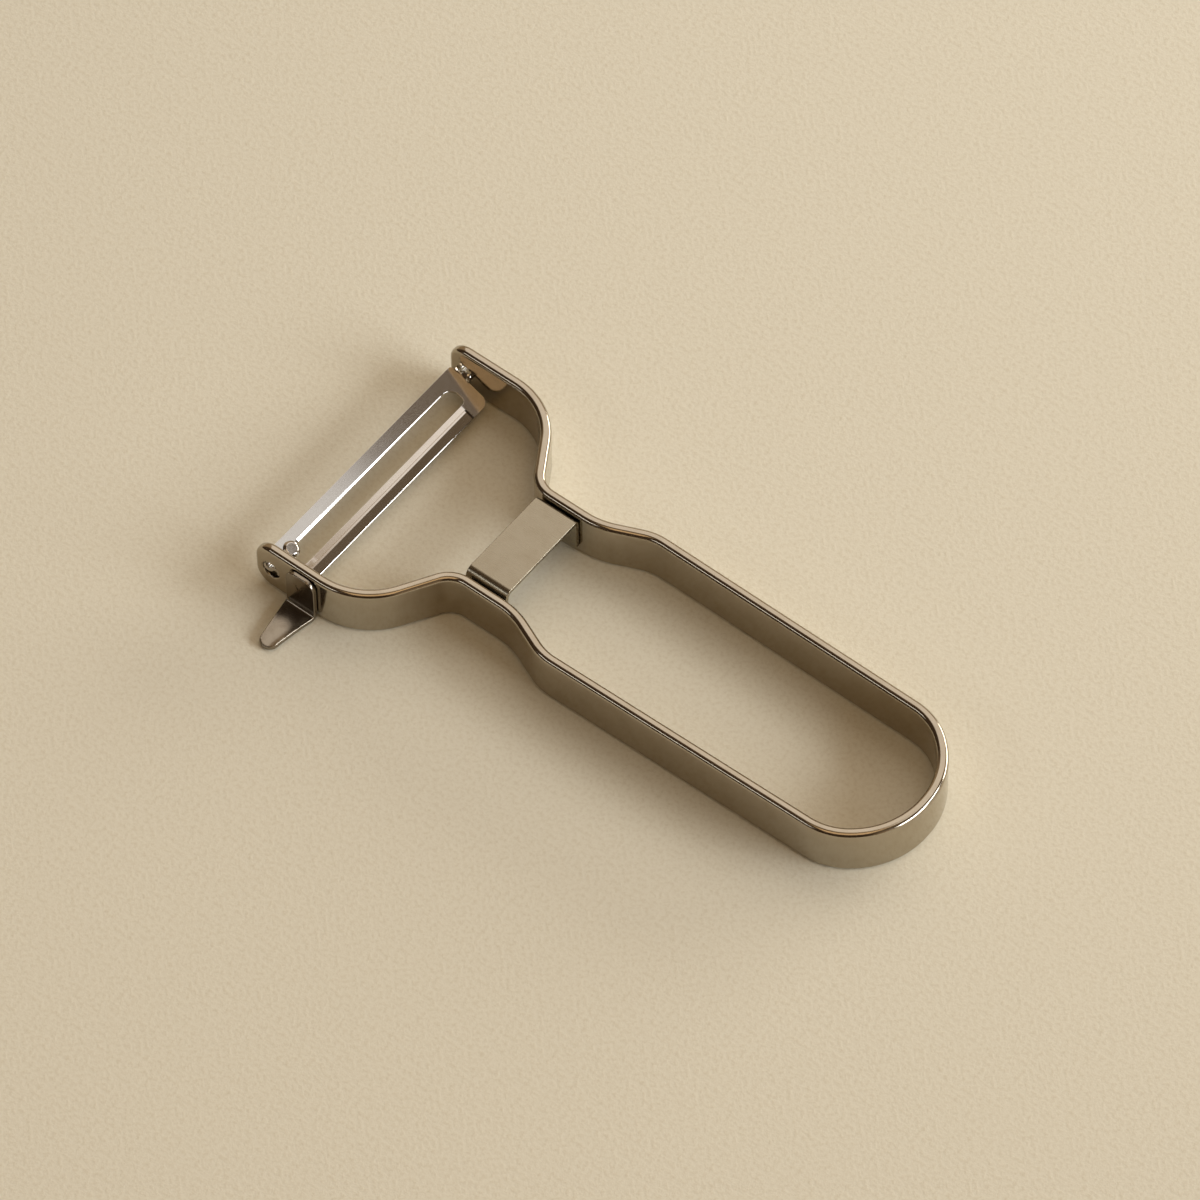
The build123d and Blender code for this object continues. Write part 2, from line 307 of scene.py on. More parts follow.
@dataclass
class StripFrame:
    """The frame: one flat strip bent on edge, with rounded rims and a pivot hole in each ear."""

    overall_length: float = 120.0
    thickness: float = 2.0
    height: float = 10.0
    rim_radius: float = 0.8
    runs: tuple[float, ...] = (21.1, 8.85, 12.85, 8.9)
    offsets: tuple[float, ...] = (25.8, 25.8, 11.2, 11.2, 15.05)
    butt_run: float = 8.5
    rail_rear_offset: float = 14.4
    butt_offset: float = 7.0
    bend_radii: tuple[float, ...] = (13.2, 5.0, 14.0, 10.0, 11.5, 14.8)
    bend_step: float = 3.0
    least_bend_steps: int = 3
    ear_corner_radius: float = 3.5
    corner_segments: int = 12
    rim_segments: int = 6
    pivot_from_front: float = 3.4
    pivot_height: float = 4.7
    hole_radius: float = 1.75
    hole_edge_radius: float = 0.3
    hole_sides: int = 72

    @property
    def front_x(self) -> float:
        """Where the ears end."""
        return self.overall_length - self.thickness / 2

    @property
    def pivot_x(self) -> float:
        """Where the pivot axis crosses the handle's direction."""
        return self.front_x - self.pivot_from_front

    @property
    def ear_outside(self) -> float:
        """How far the ears' outer walls lie from the middle."""
        return self.offsets[0] + self.thickness / 2

    @property
    def ear_inside(self) -> float:
        """How far the ears' inner walls lie from the middle."""
        return self.offsets[0] - self.thickness / 2

    def corners(self) -> list[Vector]:
        """Lists the corners of the strip's centre line, seen from above.

        Returns:
            Points from the front of the -Y ear, round the loop, to the front of the other ear.
        """
        x = self.front_x
        side = [(x, self.offsets[0])]
        for run, offset in zip(self.runs, self.offsets[1:]):
            x -= run
            side.append((x, offset))
        side += [(self.butt_run, self.rail_rear_offset), (0.0, self.butt_offset)]
        return [Vector((x, -y)) for x, y in side] + [Vector((x, y)) for x, y in reversed(side)]

    def bent(self) -> Bench:
        """Extrudes and spins the strip's section along its line.

        Returns:
            The bench with the strip, its edges still square.
        """
        corners = self.corners()
        bench = Bench("strip").plane(
            (corners[0].x, corners[0].y, self.height / 2), (self.height, self.thickness), (0, 90, 0)
        )
        bench.select_whole()
        place = corners[0]
        for radius, before, corner, after in zip(
            self.bend_radii + self.bend_radii[::-1], corners, corners[1:], corners[2:]
        ):
            heading = (corner - before).normalized()
            leaving = (after - corner).normalized()
            turn = -heading.angle_signed(leaving)
            reach = radius * tan(abs(turn) / 2)
            start = corner - heading * reach
            bench.extrude((*(start - place), 0))
            to_centre = Vector((-heading.y, heading.x)) * (radius if turn > 0 else -radius)
            steps = max(self.least_bend_steps, round(degrees(abs(turn)) / self.bend_step))
            bench.spin((*(start + to_centre), 0), (0, 0, 1), degrees(turn), steps)
            place = corner + leaving * reach
        bench.extrude((*(corners[-1] - place), 0))
        bench.merge()
        return bench

    def build(self) -> bpy.types.Object:
        """Bends the strip, rounds its rims and drills its ears.

        Returns:
            The strip.
        """
        bench = self.bent()
        self.round_rims(bench)
        strip = bench.close()
        drill = Bench("drill").disc(
            (self.pivot_x, 0, self.pivot_height), (self.hole_radius, self.hole_radius),
            2 * self.offsets[0] + 2 * self.thickness, self.hole_sides, (90, 0, 0),
        )
        combine(strip, drill.close(), "DIFFERENCE")
        self.soften_holes(strip)
        return strip

    def round_rims(self, bench: Bench) -> None:
        """Rounds the ears' corners, and then every rim of the strip.

        Args:
            bench: The bench with the bent strip.
        """
        def at_ear_corner(one: Vector, two: Vector) -> bool:
            """Says whether an edge lies across the strip at the front of an ear."""
            ends = min(one.x, two.x) > self.front_x - self.rim_radius
            return ends and abs(one.z - two.z) < self.rim_radius

        bench.select("EDGE", at_ear_corner)
        bench.bevel("EDGES", self.ear_corner_radius, self.corner_segments)
        bpy.ops.mesh.select_all(action="DESELECT")
        bpy.ops.mesh.select_mode(type="EDGE")
        bpy.ops.mesh.edges_select_sharp(sharpness=radians(SHARP_ANGLE))
        bench.bevel("EDGES", self.rim_radius, self.rim_segments)

    def soften_holes(self, strip: bpy.types.Object) -> None:
        """Rounds the outer edge of each pivot hole.

        Args:
            strip: The drilled strip.
        """
        def at_hole_rim(one: Vector, two: Vector) -> bool:
            """Says whether an edge lies on a hole's outer rim."""
            near = [
                abs(hypot(end.x - self.pivot_x, end.z - self.pivot_height) - self.hole_radius)
                + abs(abs(end.y) - self.ear_outside)
                for end in (one, two)
            ]
            return max(near) < NEAR

        bench = Bench("strip").reopen(strip)
        bench.select("EDGE", at_hole_rim)
        bench.bevel("EDGES", self.hole_edge_radius, self.rim_segments)
        bench.close()


class FoldedSheet:
    """A piece cut from sheet: it starts flat, is folded on the bench and then gets its thickness."""

    def __init__(self, name: str, sheet: float) -> None:
        """Names the piece and its gauge.

        Args:
            name: The object's name.
            sheet: The sheet's thickness, in millimetres.
        """
        self.bench = Bench(name)
        self.sheet = sheet

    def fold(self, test: Callable[..., bool], centre: Point, angle: float, steps: int) -> None:
        """Folds on from an edge, round an axis along X.

        Args:
            test: Picks the edge.
            centre: A point on the fold's axis, in millimetres.
            angle: The fold, in degrees, by the right-hand rule about X.
            steps: How many faces make it.
        """
        self.bench.select("EDGE", test)
        self.bench.spin(centre, (1, 0, 0), angle, steps)

    def thicken(self, break_radius: float) -> bpy.types.Object:
        """Gives the sheet its thickness and breaks its edges.

        Args:
            break_radius: The rounding of its sheared edges, in millimetres.

        Returns:
            The finished piece.
        """
        piece = self.bench.close()
        modify(piece, "SOLIDIFY", thickness=self.sheet * MM, offset=0.0, use_even_offset=True)
        modify(
            piece, "BEVEL", width=break_radius * MM, segments=BREAK_SEGMENTS, limit_method="ANGLE",
            angle_limit=radians(SHARP_ANGLE), use_clamp_overlap=False, harden_normals=False,
        )
        return piece


@dataclass(frozen=True)
class Weld:
    """A spot weld: a nugget between a sheet and the strip, and the round mark of the welding tip."""

    radius: float = 1.2
    mark_radius: float = 0.85
    mark_depth: float = 0.12
    sides: int = 48

    def add(self, piece: bpy.types.Object, mark: Point, wall: float) -> None:
        """Adds the nugget and the mark to a piece of sheet.

        Args:
            piece: The piece of sheet.
            mark: The middle of the mark on the face that the welding tip touched.
            wall: The place of the strip's wall along Y.
        """
        inward = 1 if wall > mark[1] else -1
        floor = mark[1] + inward * self.mark_depth
        nugget = Bench("nugget").disc(
            (mark[0], (wall + floor) / 2, mark[2]), (self.radius, self.radius),
            abs(wall - floor), self.sides, (90, 0, 0),
        )
        combine(piece, nugget.close(), "UNION")
        dent = Bench("dent").disc(
            mark, (self.mark_radius, self.mark_radius), 2 * self.mark_depth, self.sides, (90, 0, 0)
        )
        combine(piece, dent.close(), "DIFFERENCE")


@dataclass
class Bridge:
    """The bridge: a sheet across the neck, folded down each wall, with a weld on each flange."""

    strip: StripFrame
    behind_neck_corner: float = 1.1
    width: float = 8.55
    sheet: float = 0.8
    below_rim: float = 0.6
    fold_gap: float = 0.85
    fold_radius: float = 1.6
    tight_fold_radius: float = 1.1
    foot_height: float = 1.5
    foot_radius: float = 1.0
    weld_height: float = 4.0
    weld_gap: float = 0.15
    weld: Weld = Weld()
    edge_break: float = 0.12
    fold_steps: int = 12

    def build(self) -> bpy.types.Object:
        """Folds the bridge and adds its welds.

        Returns:
            The bridge.
        """
        neck_x = self.strip.front_x - sum(self.strip.runs[:2])
        middle_x = neck_x - self.behind_neck_corner - self.width / 2
        wall = self.strip.offsets[2] - self.strip.thickness / 2
        half_sheet = self.sheet / 2
        mid_z = self.strip.height - self.below_rim - half_sheet
        foot_y = wall - self.weld_gap - half_sheet
        sides = {
            -1: (foot_y, self.tight_fold_radius - half_sheet),
            1: (wall - self.fold_gap - half_sheet, self.fold_radius - half_sheet),
        }
        drop = mid_z - self.foot_height
        folds = {}
        for side, (corner_y, radius) in sides.items():
            lean = asin((foot_y - corner_y) / hypot(foot_y - corner_y, drop))
            folds[side] = (corner_y, radius, lean, radius * tan((pi / 2 - lean) / 2))
        ends = {side: side * (corner_y - reach) for side, (corner_y, _, _, reach) in folds.items()}
        sheet = FoldedSheet("bridge_sheet", self.sheet)
        bench = sheet.bench.plane(
            (middle_x, (ends[1] + ends[-1]) / 2, mid_z), (self.width, ends[1] - ends[-1])
        )
        for side, (corner_y, radius, lean, reach) in folds.items():
            sheet.fold(
                lambda one, two, side=side: min(side * one.y, side * two.y) > side * ends[side] - NEAR,
                (0, ends[side], mid_z - radius), side * (degrees(lean) - 90), self.fold_steps,
            )
            length = hypot(foot_y - corner_y, drop) - reach
            bench.extrude_edges((0, side * sin(lean) * length, -cos(lean) * length))
        bench.merge()
        bench.select("VERT", lambda place: place.z < self.foot_height + NEAR)
        bench.bevel("VERTICES", self.foot_radius, self.fold_steps)
        piece = sheet.thicken(self.edge_break)
        for side, (_, _, lean, _) in folds.items():
            inner = foot_y - tan(lean) * (self.weld_height - self.foot_height) - half_sheet
            self.weld.add(piece, (middle_x, side * inner, self.weld_height), side * wall)
        return piece


@dataclass
class EyeRemover:
    """The eye remover: a plate outside the +Y ear, folded out into a dished scoop."""

    strip: StripFrame
    from_front: float = 7.4
    width: float = 6.0
    sheet: float = 0.8
    below_rim: float = 0.6
    corner_radius: float = 2.0
    lift: float = 0.2
    fold_radius: float = 1.4
    weld_height: float = 6.5
    weld_gap: float = 0.15
    weld: Weld = Weld()
    scoop_length: float = 9.7
    tip_radius: float = 1.75
    dish_radius: float = 4.5
    dish_run_on: float = 1.0
    edge_break: float = 0.14
    fold_steps: int = 12
    cut_step: float = 0.5

    @property
    def middle_x(self) -> float:
        """Where the middle of the plate lies along the handle."""
        return self.strip.front_x - self.from_front - self.width / 2

    @property
    def back(self) -> float:
        """Where the plate's back lies along Y, a weld's gap from the ear."""
        return self.strip.ear_outside + self.weld_gap

    @property
    def fold_end(self) -> float:
        """Where the fold ends along Y and the scoop begins."""
        return self.back + self.fold_radius

    @property
    def tip(self) -> float:
        """Where the scoop ends along Y."""
        return self.back + self.sheet + self.scoop_length

    def draw_scoop(self, bench: Bench) -> None:
        """Draws the scoop out from the fold, narrower towards its tip.

        Args:
            bench: The bench, with the fold's last edge selected.
        """
        bench.extrude_edges((0, self.tip - self.tip_radius - self.fold_end, 0))
        taper = self.tip_radius / (self.width / 2)
        bpy.ops.transform.resize(value=(taper, 1, 1), center_override=(self.middle_x * MM, 0, 0))
        bench.extrude_edges((0, self.tip_radius, 0))
        bench.merge()

    def cut_scoop(self, bench: Bench) -> None:
        """Cuts the scoop into faces small enough to be dished.

        Args:
            bench: The bench with the folded sheet.
        """
        for index in range(1, round(self.width / self.cut_step)):
            bench.cut((self.middle_x - self.width / 2 + index * self.cut_step, 0, 0), (1, 0, 0))
        for index in range(1, round((self.tip - self.fold_end) / self.cut_step)):
            bench.cut((0, self.fold_end + index * self.cut_step, 0), (0, 1, 0))

    def dish(self, place: Vector) -> Vector:
        """Lifts the scoop's edges, more and more towards its tip.

        Args:
            place: A vertex's place, in millimetres.

        Returns:
            Its new place.
        """
        share = max(0.0, place.y - self.fold_end) / (self.tip + self.dish_run_on - self.fold_end)
        side = place.x - self.middle_x
        rise = self.dish_radius - (self.dish_radius**2 - side**2) ** 0.5
        return place + Vector((0, 0, share * rise))

    def build(self) -> bpy.types.Object:
        """Folds the plate, draws out the scoop, dishes it and adds the weld.

        Returns:
            The eye remover.
        """
        top = self.strip.height - self.below_rim
        fold_z = self.lift + self.fold_radius
        sheet = FoldedSheet("remover_sheet", self.sheet)
        bench = sheet.bench.plane(
            (self.middle_x, self.back + self.sheet / 2, (top + fold_z) / 2),
            (self.width, top - fold_z), (90, 0, 0),
        )
        sheet.fold(
            lambda one, two: max(one.z, two.z) < fold_z + NEAR,
            (0, self.fold_end, fold_z), 90, self.fold_steps,
        )
        self.draw_scoop(bench)
        bench.select("VERT", lambda place: place.z > top - NEAR)
        bench.bevel("VERTICES", self.corner_radius, self.fold_steps)
        bench.select("VERT", lambda place: place.y > self.tip - NEAR)
        bench.bevel("VERTICES", self.tip_radius, self.fold_steps)
        self.cut_scoop(bench)
        bench.shape(self.dish)
        piece = sheet.thicken(self.edge_break)
        mark = (self.middle_x, self.back + self.sheet, self.weld_height)
        self.weld.add(piece, mark, self.strip.ear_outside)
        return piece


@dataclass
class Blade:
    """The blade, modelled flat with X forwards, Y along it and its pivot axis at the origin."""

    strip: StripFrame
    tilt: float = 23.5
    sheet: float = 0.6
    end_gap: float = 0.95
    front_reach: float = 2.55
    front_corner: float = 0.8
    rear_corner: float = 1.8
    cutting_bar: float = 2.5
    bevel_width: float = 0.5
    bevel_drop: float = 0.2
    bevel_fade: float = 0.15
    edge_thickness: float = 0.08
    slot_width: float = 3.55
    ridge_width: float = 0.92
    crown_width: float = 0.43
    facet_width: float = 1.5
    lip_width: float = 0.1
    step_width: float = 0.07
    ridge_rise: float = 0.12
    step_rise: float = 0.05
    crown_rise: float = 0.05
    facet_drop: float = 0.11
    lip_drop: float = 0.036
    guard_plain_margin: float = 4.05
    guard_boss_margin: float = 1.0
    run_out: float = 0.5
    plain_margin: float = 2.95
    boss_margin: float = 1.7
    slot_front_corner: float = 2.0
    slot_rear_corner: float = 0.9
    boss_from_end: float = 2.35
    boss_radius: float = 1.5
    boss_top_radius: float = 1.05
    boss_rise: float = 0.45
    boss_edge_radius: float = 0.12
    boss_slope: float = 0.03
    tongue_sheet: float = 0.75
    tongue_root: float = 0.3
    tongue_recess: float = 0.25
    pivot_clearance: float = 0.07
    edge_break: float = 0.035
    break_segments: int = 2
    corner_segments: int = 12
    boss_sides: int = 72
    tongue_sides: int = 96
    roll_steps: int = 28
    least_curl: float = 0.02
    smooth_angle: float = 11.0

    @property
    def end(self) -> float:
        """How far the flat of the blade reaches to each side."""
        return self.strip.ear_inside - self.end_gap

    @property
    def boss_y(self) -> float:
        """Where the middle of the boss lies along the blade."""
        return self.end - self.boss_from_end

    @property
    def slot_front(self) -> float:
        """Where the slot begins behind the cutting bar."""
        return self.front_reach - self.cutting_bar

    @property
    def slot_rear(self) -> float:
        """Where the slot ends at the guard bar."""
        return self.slot_front - self.slot_width

    @property
    def guard_lines(self) -> tuple[float, float, float, float]:
        """The places across the guard bar of its crown, facet, lip and rear edge."""
        crown = self.slot_rear - self.ridge_width
        facet = crown - self.crown_width
        lip = facet - self.facet_width
        return crown, facet, lip, lip - self.lip_width

    def rounded_plate(self, name: str, spans: tuple[float, float, float, float],
                      corners: tuple[float, float], low: float, high: float) -> Bench:
        """Starts a flat plate with two radii at its front corners and two at its rear ones.

        Args:
            name: The object's name.
            spans: Its rear, its front, its -Y end and its +Y end, in millimetres.
            corners: The radii of its rear and front corners.
            low: The height of its underside.
            high: The height of its top.

        Returns:
            The bench with the plate.
        """
        rear, front, start, end = spans
        bench = Bench(name).plane(
            ((rear + front) / 2, (start + end) / 2, low), (front - rear, end - start)
        )
        bench.select("VERT", lambda place: place.x > front - NEAR)
        bench.bevel("VERTICES", corners[1], self.corner_segments)
        bench.select("VERT", lambda place: place.x < rear + NEAR)
        bench.bevel("VERTICES", corners[0], self.corner_segments)
        bench.select_whole()
        bench.extrude((0, 0, high - low))
        return bench

    def flat(self) -> bpy.types.Object:
        """Makes the slotted plate.

        Returns:
            The plate, with its slot cut through.
        """
        half = self.sheet / 2
        rear = self.guard_lines[-1]
        plate = self.rounded_plate(
            "blade_sheet", (rear, self.front_reach, -self.end, self.end),
            (self.rear_corner, self.front_corner), -half, half,
        ).close()
        slot = self.rounded_plate(
            "slot",
            (self.slot_rear, self.slot_front, self.plain_margin - self.end, self.end - self.boss_margin),
            (self.slot_rear_corner, self.slot_front_corner), -self.sheet, self.sheet,
        ).close()
        combine(plate, slot, "DIFFERENCE")
        rest = Bench("rest").disc(
            (0, self.boss_y, 0), (self.boss_radius, self.boss_radius), self.sheet, self.boss_sides
        )
        combine(plate, rest.close(), "UNION")
        return plate

    def form_lines(self) -> tuple[dict[float, float], list[float]]:
        """Where forming and grinding change the plate, in its flat state.

        Returns:
            The guard's lines across X and how far each is raised, and then, along Y, the guard's
            start and end and the cutting bevel's start and end.
        """
        crown, facet, lip, rear = self.guard_lines
        step = self.ridge_rise + self.step_rise
        top = step + self.crown_rise
        guard = {
            crown: self.ridge_rise,
            crown - self.step_width: step,
            facet: top,
            lip: top - self.facet_drop,
            rear: top - self.facet_drop - self.lip_drop,
        }
        ends = [
            self.guard_plain_margin - self.end,
            self.end - self.guard_boss_margin,
            self.plain_margin - self.end + self.slot_front_corner,
            self.boss_y - self.boss_radius,
        ]
        return guard, ends

    def grind(self, plate: bpy.types.Object) -> None:
        """Forms the guard bar and grinds the cutting bevel, by cuts along the plate and moves.

        Args:
            plate: The slotted plate.
        """
        guard, (guard_start, guard_end, bevel_start, bevel_end) = self.form_lines()
        rear = self.guard_lines[-1]
        bench = Bench("blade_sheet").reopen(plate)
        bevel_line = self.slot_front + self.bevel_width
        for line in (bevel_line, *guard):
            if line > rear + NEAR:
                bench.cut((line, 0, 0), (1, 0, 0))
        for start, end in ((guard_start, guard_end), (bevel_start, bevel_end)):
            for line in (start, start + self.run_out, end - self.run_out, end):
                bench.cut((0, line, 0), (0, 1, 0))

        def form(place: Vector) -> Vector:
            """Moves one vertex of the plate to where forming and grinding leave it.

            Args:
                place: Its place, in millimetres.

            Returns:
                Its new place.
            """
            height = place.z
            if guard_start + self.run_out - NEAR < place.y < guard_end - self.run_out + NEAR:
                for line, rise in guard.items():
                    if abs(place.x - line) < NEAR:
                        height += rise
            x = place.x
            if bevel_start + self.run_out - NEAR < place.y < bevel_end - self.run_out + NEAR:
                share = (place.y - bevel_start) / (bevel_end - bevel_start)
                full = self.bevel_fade + (1 - self.bevel_fade) * share
                if abs(x - self.slot_front) < NEAR:
                    height = self.sheet / 2 - self.bevel_drop * full
                    height -= 0 if place.z > 0 else self.edge_thickness
                if abs(x - bevel_line) < NEAR and place.z > 0:
                    x = self.slot_front + self.bevel_width * full
            return Vector((x, place.y, height))

        bench.shape(form)
        bench.close()

    def boss(self) -> bpy.types.Object:
        """Makes the round boss that stands on the blade's end.

        Returns:
            The boss.
        """
        low = self.sheet / 2
        high = low + self.boss_rise
        bench = Bench("boss").disc(
            (0, self.boss_y, (self.sheet + self.boss_rise) / 2),
            (self.boss_radius, self.boss_top_radius), self.boss_rise, self.boss_sides,
        )
        bench.select("EDGE", lambda one, two: min(one.z, two.z) > high - NEAR)
        bench.bevel("EDGES", self.boss_edge_radius, BREAK_SEGMENTS)

        def lean(place: Vector) -> Vector:
            """Leans the boss's top a little, as the punch left it."""
            share = max(0.0, (place.z - low) / self.boss_rise)
            return place + Vector((0, 0, share * self.boss_slope * (place.y - self.boss_y)))

        bench.shape(lean)
        return bench.close()

    def tongue(self, side: int) -> bpy.types.Object:
        """Rolls the tongue at one end of the blade into the S that fills the pivot hole.

        Args:
            side: 1 for the end at +Y, -1 for the end at -Y.

        Returns:
            The tongue, trimmed to the round of the hole.
        """
        radius = self.strip.hole_radius - self.pivot_clearance
        bend = radius / 2
        root = self.end - self.tongue_root
        tip = self.strip.ear_outside - self.tongue_recess
        rolled = self.strip.ear_inside - self.tongue_recess
        half_width = pi * bend
        bench = Bench("tongue")
        bpy.ops.mesh.primitive_grid_add(
            x_subdivisions=2 * self.roll_steps, y_subdivisions=self.roll_steps, size=1,
            location=(0, (root + tip) / 2 * MM, 0),
        )
        bpy.context.object.scale = (2 * half_width * MM, (tip - root) * MM, 1)
        bench.take()

        def roll(place: Vector) -> Vector:
            """Curls the flat tongue: not at its root, and fully past the blade's end.

            Args:
                place: A vertex's place, in millimetres.

            Returns:
                Its new place.
            """
            share = min(1.0, max(0.0, (place.y - self.end) / (rolled - self.end)))
            share = max(self.least_curl, share * share * (3 - 2 * share))
            reach = abs(place.x)
            start = share * pi / 2
            here = start - share * reach / bend
            x = (sin(start) - sin(here)) * bend / share
            z = -(cos(here) - cos(start)) * bend / share
            sign = 1 if place.x > 0 else -1
            narrow = self.narrowed(place.y, half_width, radius)
            return Vector((sign * x * narrow, side * place.y, sign * z))

        bench.shape(roll)
        tongue = bench.close()
        modify(tongue, "SOLIDIFY", thickness=self.tongue_sheet * MM, offset=0.0)
        round_off = Bench("round_off").disc(
            (0, side * (root + tip) / 2, 0), (radius, radius), tip - root + self.sheet,
            self.tongue_sides, (90, 0, 0),
        )
        combine(tongue, round_off.close(), "INTERSECT")
        return tongue

    def narrowed(self, y: float, half_width: float, radius: float) -> float:
        """How much narrower the tongue is at its root, so that the flat part fits the hole's width."""
        share = min(1.0, max(0.0, (y - self.end) / self.end_gap))
        return radius / half_width * (1 - share) + share

    def build(self) -> bpy.types.Object:
        """Makes the blade and tilts it in its place between the ears.

        Returns:
            The blade.
        """
        plate = self.flat()
        self.grind(plate)
        modify(
            plate, "BEVEL", width=self.edge_break * MM, segments=self.break_segments,
            limit_method="ANGLE", angle_limit=radians(SHARP_ANGLE), use_clamp_overlap=False,
        )
        combine(plate, self.boss(), "UNION")
        for side in (-1, 1):
            combine(plate, self.tongue(side), "UNION")
        place = Matrix.Translation((self.strip.pivot_x * MM, 0, self.strip.pivot_height * MM))
        plate.data.transform(place @ Matrix.Rotation(-radians(self.tilt), 4, "Y"))
        return plate


def add_node(tree: bpy.types.NodeTree, kind: str, settings: dict | None = None,
             links: dict | None = None) -> bpy.types.Node:
    """Adds a node with its settings and links.

    Args:
        tree: The node tree.
        kind: The node's type.
        settings: Values by name: a property of the node, or one of its inputs by name or number.
        links: Output sockets by the name or number of the input that each feeds.

    Returns:
        The node.
    """
    node = tree.nodes.new(kind)
    for name, value in (settings or {}).items():
        if isinstance(name, str) and hasattr(node, name):
            setattr(node, name, value)
        else:
            node.inputs[name].default_value = value
    for name, socket in (links or {}).items():
        tree.links.new(socket, node.inputs[name])
    return node


def new_material(name: str) -> bpy.types.Material:
    """Makes a material whose node tree is still empty.

    Args:
        name: Its name.

    Returns:
        The material.
    """
    material = bpy.data.materials.new(name)
    material.use_nodes = True
    material.node_tree.nodes.clear()
    return material


def add_blend(tree: bpy.types.NodeTree, pattern: bpy.types.NodeSocket, tone: str,
              other: str) -> bpy.types.NodeSocket:
    """Blends one colour into another where a noise pattern is strong.

    Args:
        tree: The node tree.
        pattern: The pattern's strength.
        tone: The sRGB hex colour where it is weak.
        other: The sRGB hex colour where it is strong.

    Returns:
        The blended colour.
    """
    share = add_node(
        tree, "ShaderNodeMapRange",
        {"From Min": TONE_LIMITS[0], "From Max": TONE_LIMITS[1], "To Min": 0.0, "To Max": 1.0},
        {"Value": pattern},
    )
    blend = add_node(
        tree, "ShaderNodeMix",
        {"data_type": "RGBA", 6: hex_to_linear(tone), 7: hex_to_linear(other)},
        {0: share.outputs[0]},
    )
    return blend.outputs[2]


def add_facing(tree: bpy.types.NodeTree, way: bpy.types.NodeSocket, side: Point,
               limits: tuple[float, float]) -> bpy.types.NodeSocket:
    """Finds how far a way through the room faces one side.

    Args:
        tree: The node tree.
        way: The way.
        side: Where that side is.
        limits: The dot products where it starts to face that side, and where it fully does.

    Returns:
        A share from 0 to 1.
    """
    turned = add_node(
        tree, "ShaderNodeVectorMath", {"operation": "DOT_PRODUCT", 1: side}, {0: way}
    )
    share = add_node(
        tree, "ShaderNodeMapRange",
        {"interpolation_type": "SMOOTHSTEP", "From Min": limits[0], "From Max": limits[1]},
        {"Value": turned.outputs["Value"]},
    )
    return share.outputs[0]


class Grain(Enum):
    """How a finish's fine lines lie: how much they are drawn out along X, Y and Z."""

    TUMBLED = (1.0, 1.0, 1.0)
    ALONG_HANDLE = (0.08, 1.0, 1.0)
    ACROSS_BLADE = (0.05, 1.0, 1.0)


@dataclass(frozen=True)
class SteelFinish:
    """A finish of bare stainless steel: its tone, its polish and its grain, with sizes in mm."""

    name: str
    slot: str
    tone: str
    stain: str
    polish: float
    wear: float
    grain: Grain
    grain_size: float
    grain_depth: float
    cloud_size: float
    cloud_detail: float = 4.0
    cloud_roughness: float = 0.5
    grain_detail: float = 3.0
    grain_roughness: float = 0.6

    def material(self) -> bpy.types.Material:
        """Builds the finish's material.

        Returns:
            The material.
        """
        material = new_material(self.name)
        tree = material.node_tree
        place = add_node(tree, "ShaderNodeTexCoord").outputs["Object"]
        lie = add_node(tree, "ShaderNodeMapping", {"Scale": self.grain.value}, {"Vector": place})
        cloud = add_node(
            tree, "ShaderNodeTexNoise",
            {"Scale": 1 / (self.cloud_size * MM), "Detail": self.cloud_detail,
             "Roughness": self.cloud_roughness},
            {"Vector": place},
        )
        grain = add_node(
            tree, "ShaderNodeTexNoise",
            {"Scale": 1 / (self.grain_size * MM), "Detail": self.grain_detail,
             "Roughness": self.grain_roughness},
            {"Vector": lie.outputs[0]},
        )
        polish = add_node(
            tree, "ShaderNodeMapRange",
            {"From Min": POLISH_LIMITS[0], "From Max": POLISH_LIMITS[1],
             "To Min": self.polish, "To Max": self.wear},
            {"Value": grain.outputs[0]},
        )
        relief = add_node(
            tree, "ShaderNodeBump", {"Strength": 1.0, "Distance": self.grain_depth * MM},
            {"Height": grain.outputs[0]},
        )
        steel = add_node(
            tree, "ShaderNodeBsdfPrincipled", {"Metallic": 1.0},
            {"Base Color": add_blend(tree, cloud.outputs[0], self.tone, self.stain),
             "Roughness": polish.outputs[0], "Normal": relief.outputs[0]},
        )
        add_node(tree, "ShaderNodeOutputMaterial", {}, {"Surface": steel.outputs[0]})
        return material


# Rolled 18-8 strip, bent and then tumbled: a soft even sheen that still mirrors what is near it.
TUMBLED_STRIP = SteelFinish(
    "tumbled_stainless_strip", "strip_steel", "B2A999", "AAA08E", 0.10, 0.17,
    Grain.TUMBLED, 0.22, 0.0005, 3.0,
)
# Sheet with a rolled satin, blanked and folded: duller than the strip, with a faint grain.
PRESSED_BRIDGE = SteelFinish(
    "pressed_stainless_sheet", "bridge_steel", "9E9684", "988F7C", 0.22, 0.30,
    Grain.ALONG_HANDLE, 0.16, 0.0008, 2.5,
)
# Hardened blade steel, ground across and polished: nearly a mirror, with fine lines.
GROUND_BLADE = SteelFinish(
    "ground_blade_steel", "blade_steel", "CBC8C3", "C6C2BC", 0.08, 0.13,
    Grain.ACROSS_BLADE, 0.12, 0.0002, 4.0,
)
# The same sheet as the bridge, polished after it was pressed.
POLISHED_SHEET = SteelFinish(
    "polished_stainless_sheet", "remover_steel", "958D80", "8B8274", 0.16, 0.25,
    Grain.TUMBLED, 0.25, 0.0002, 2.0,
)


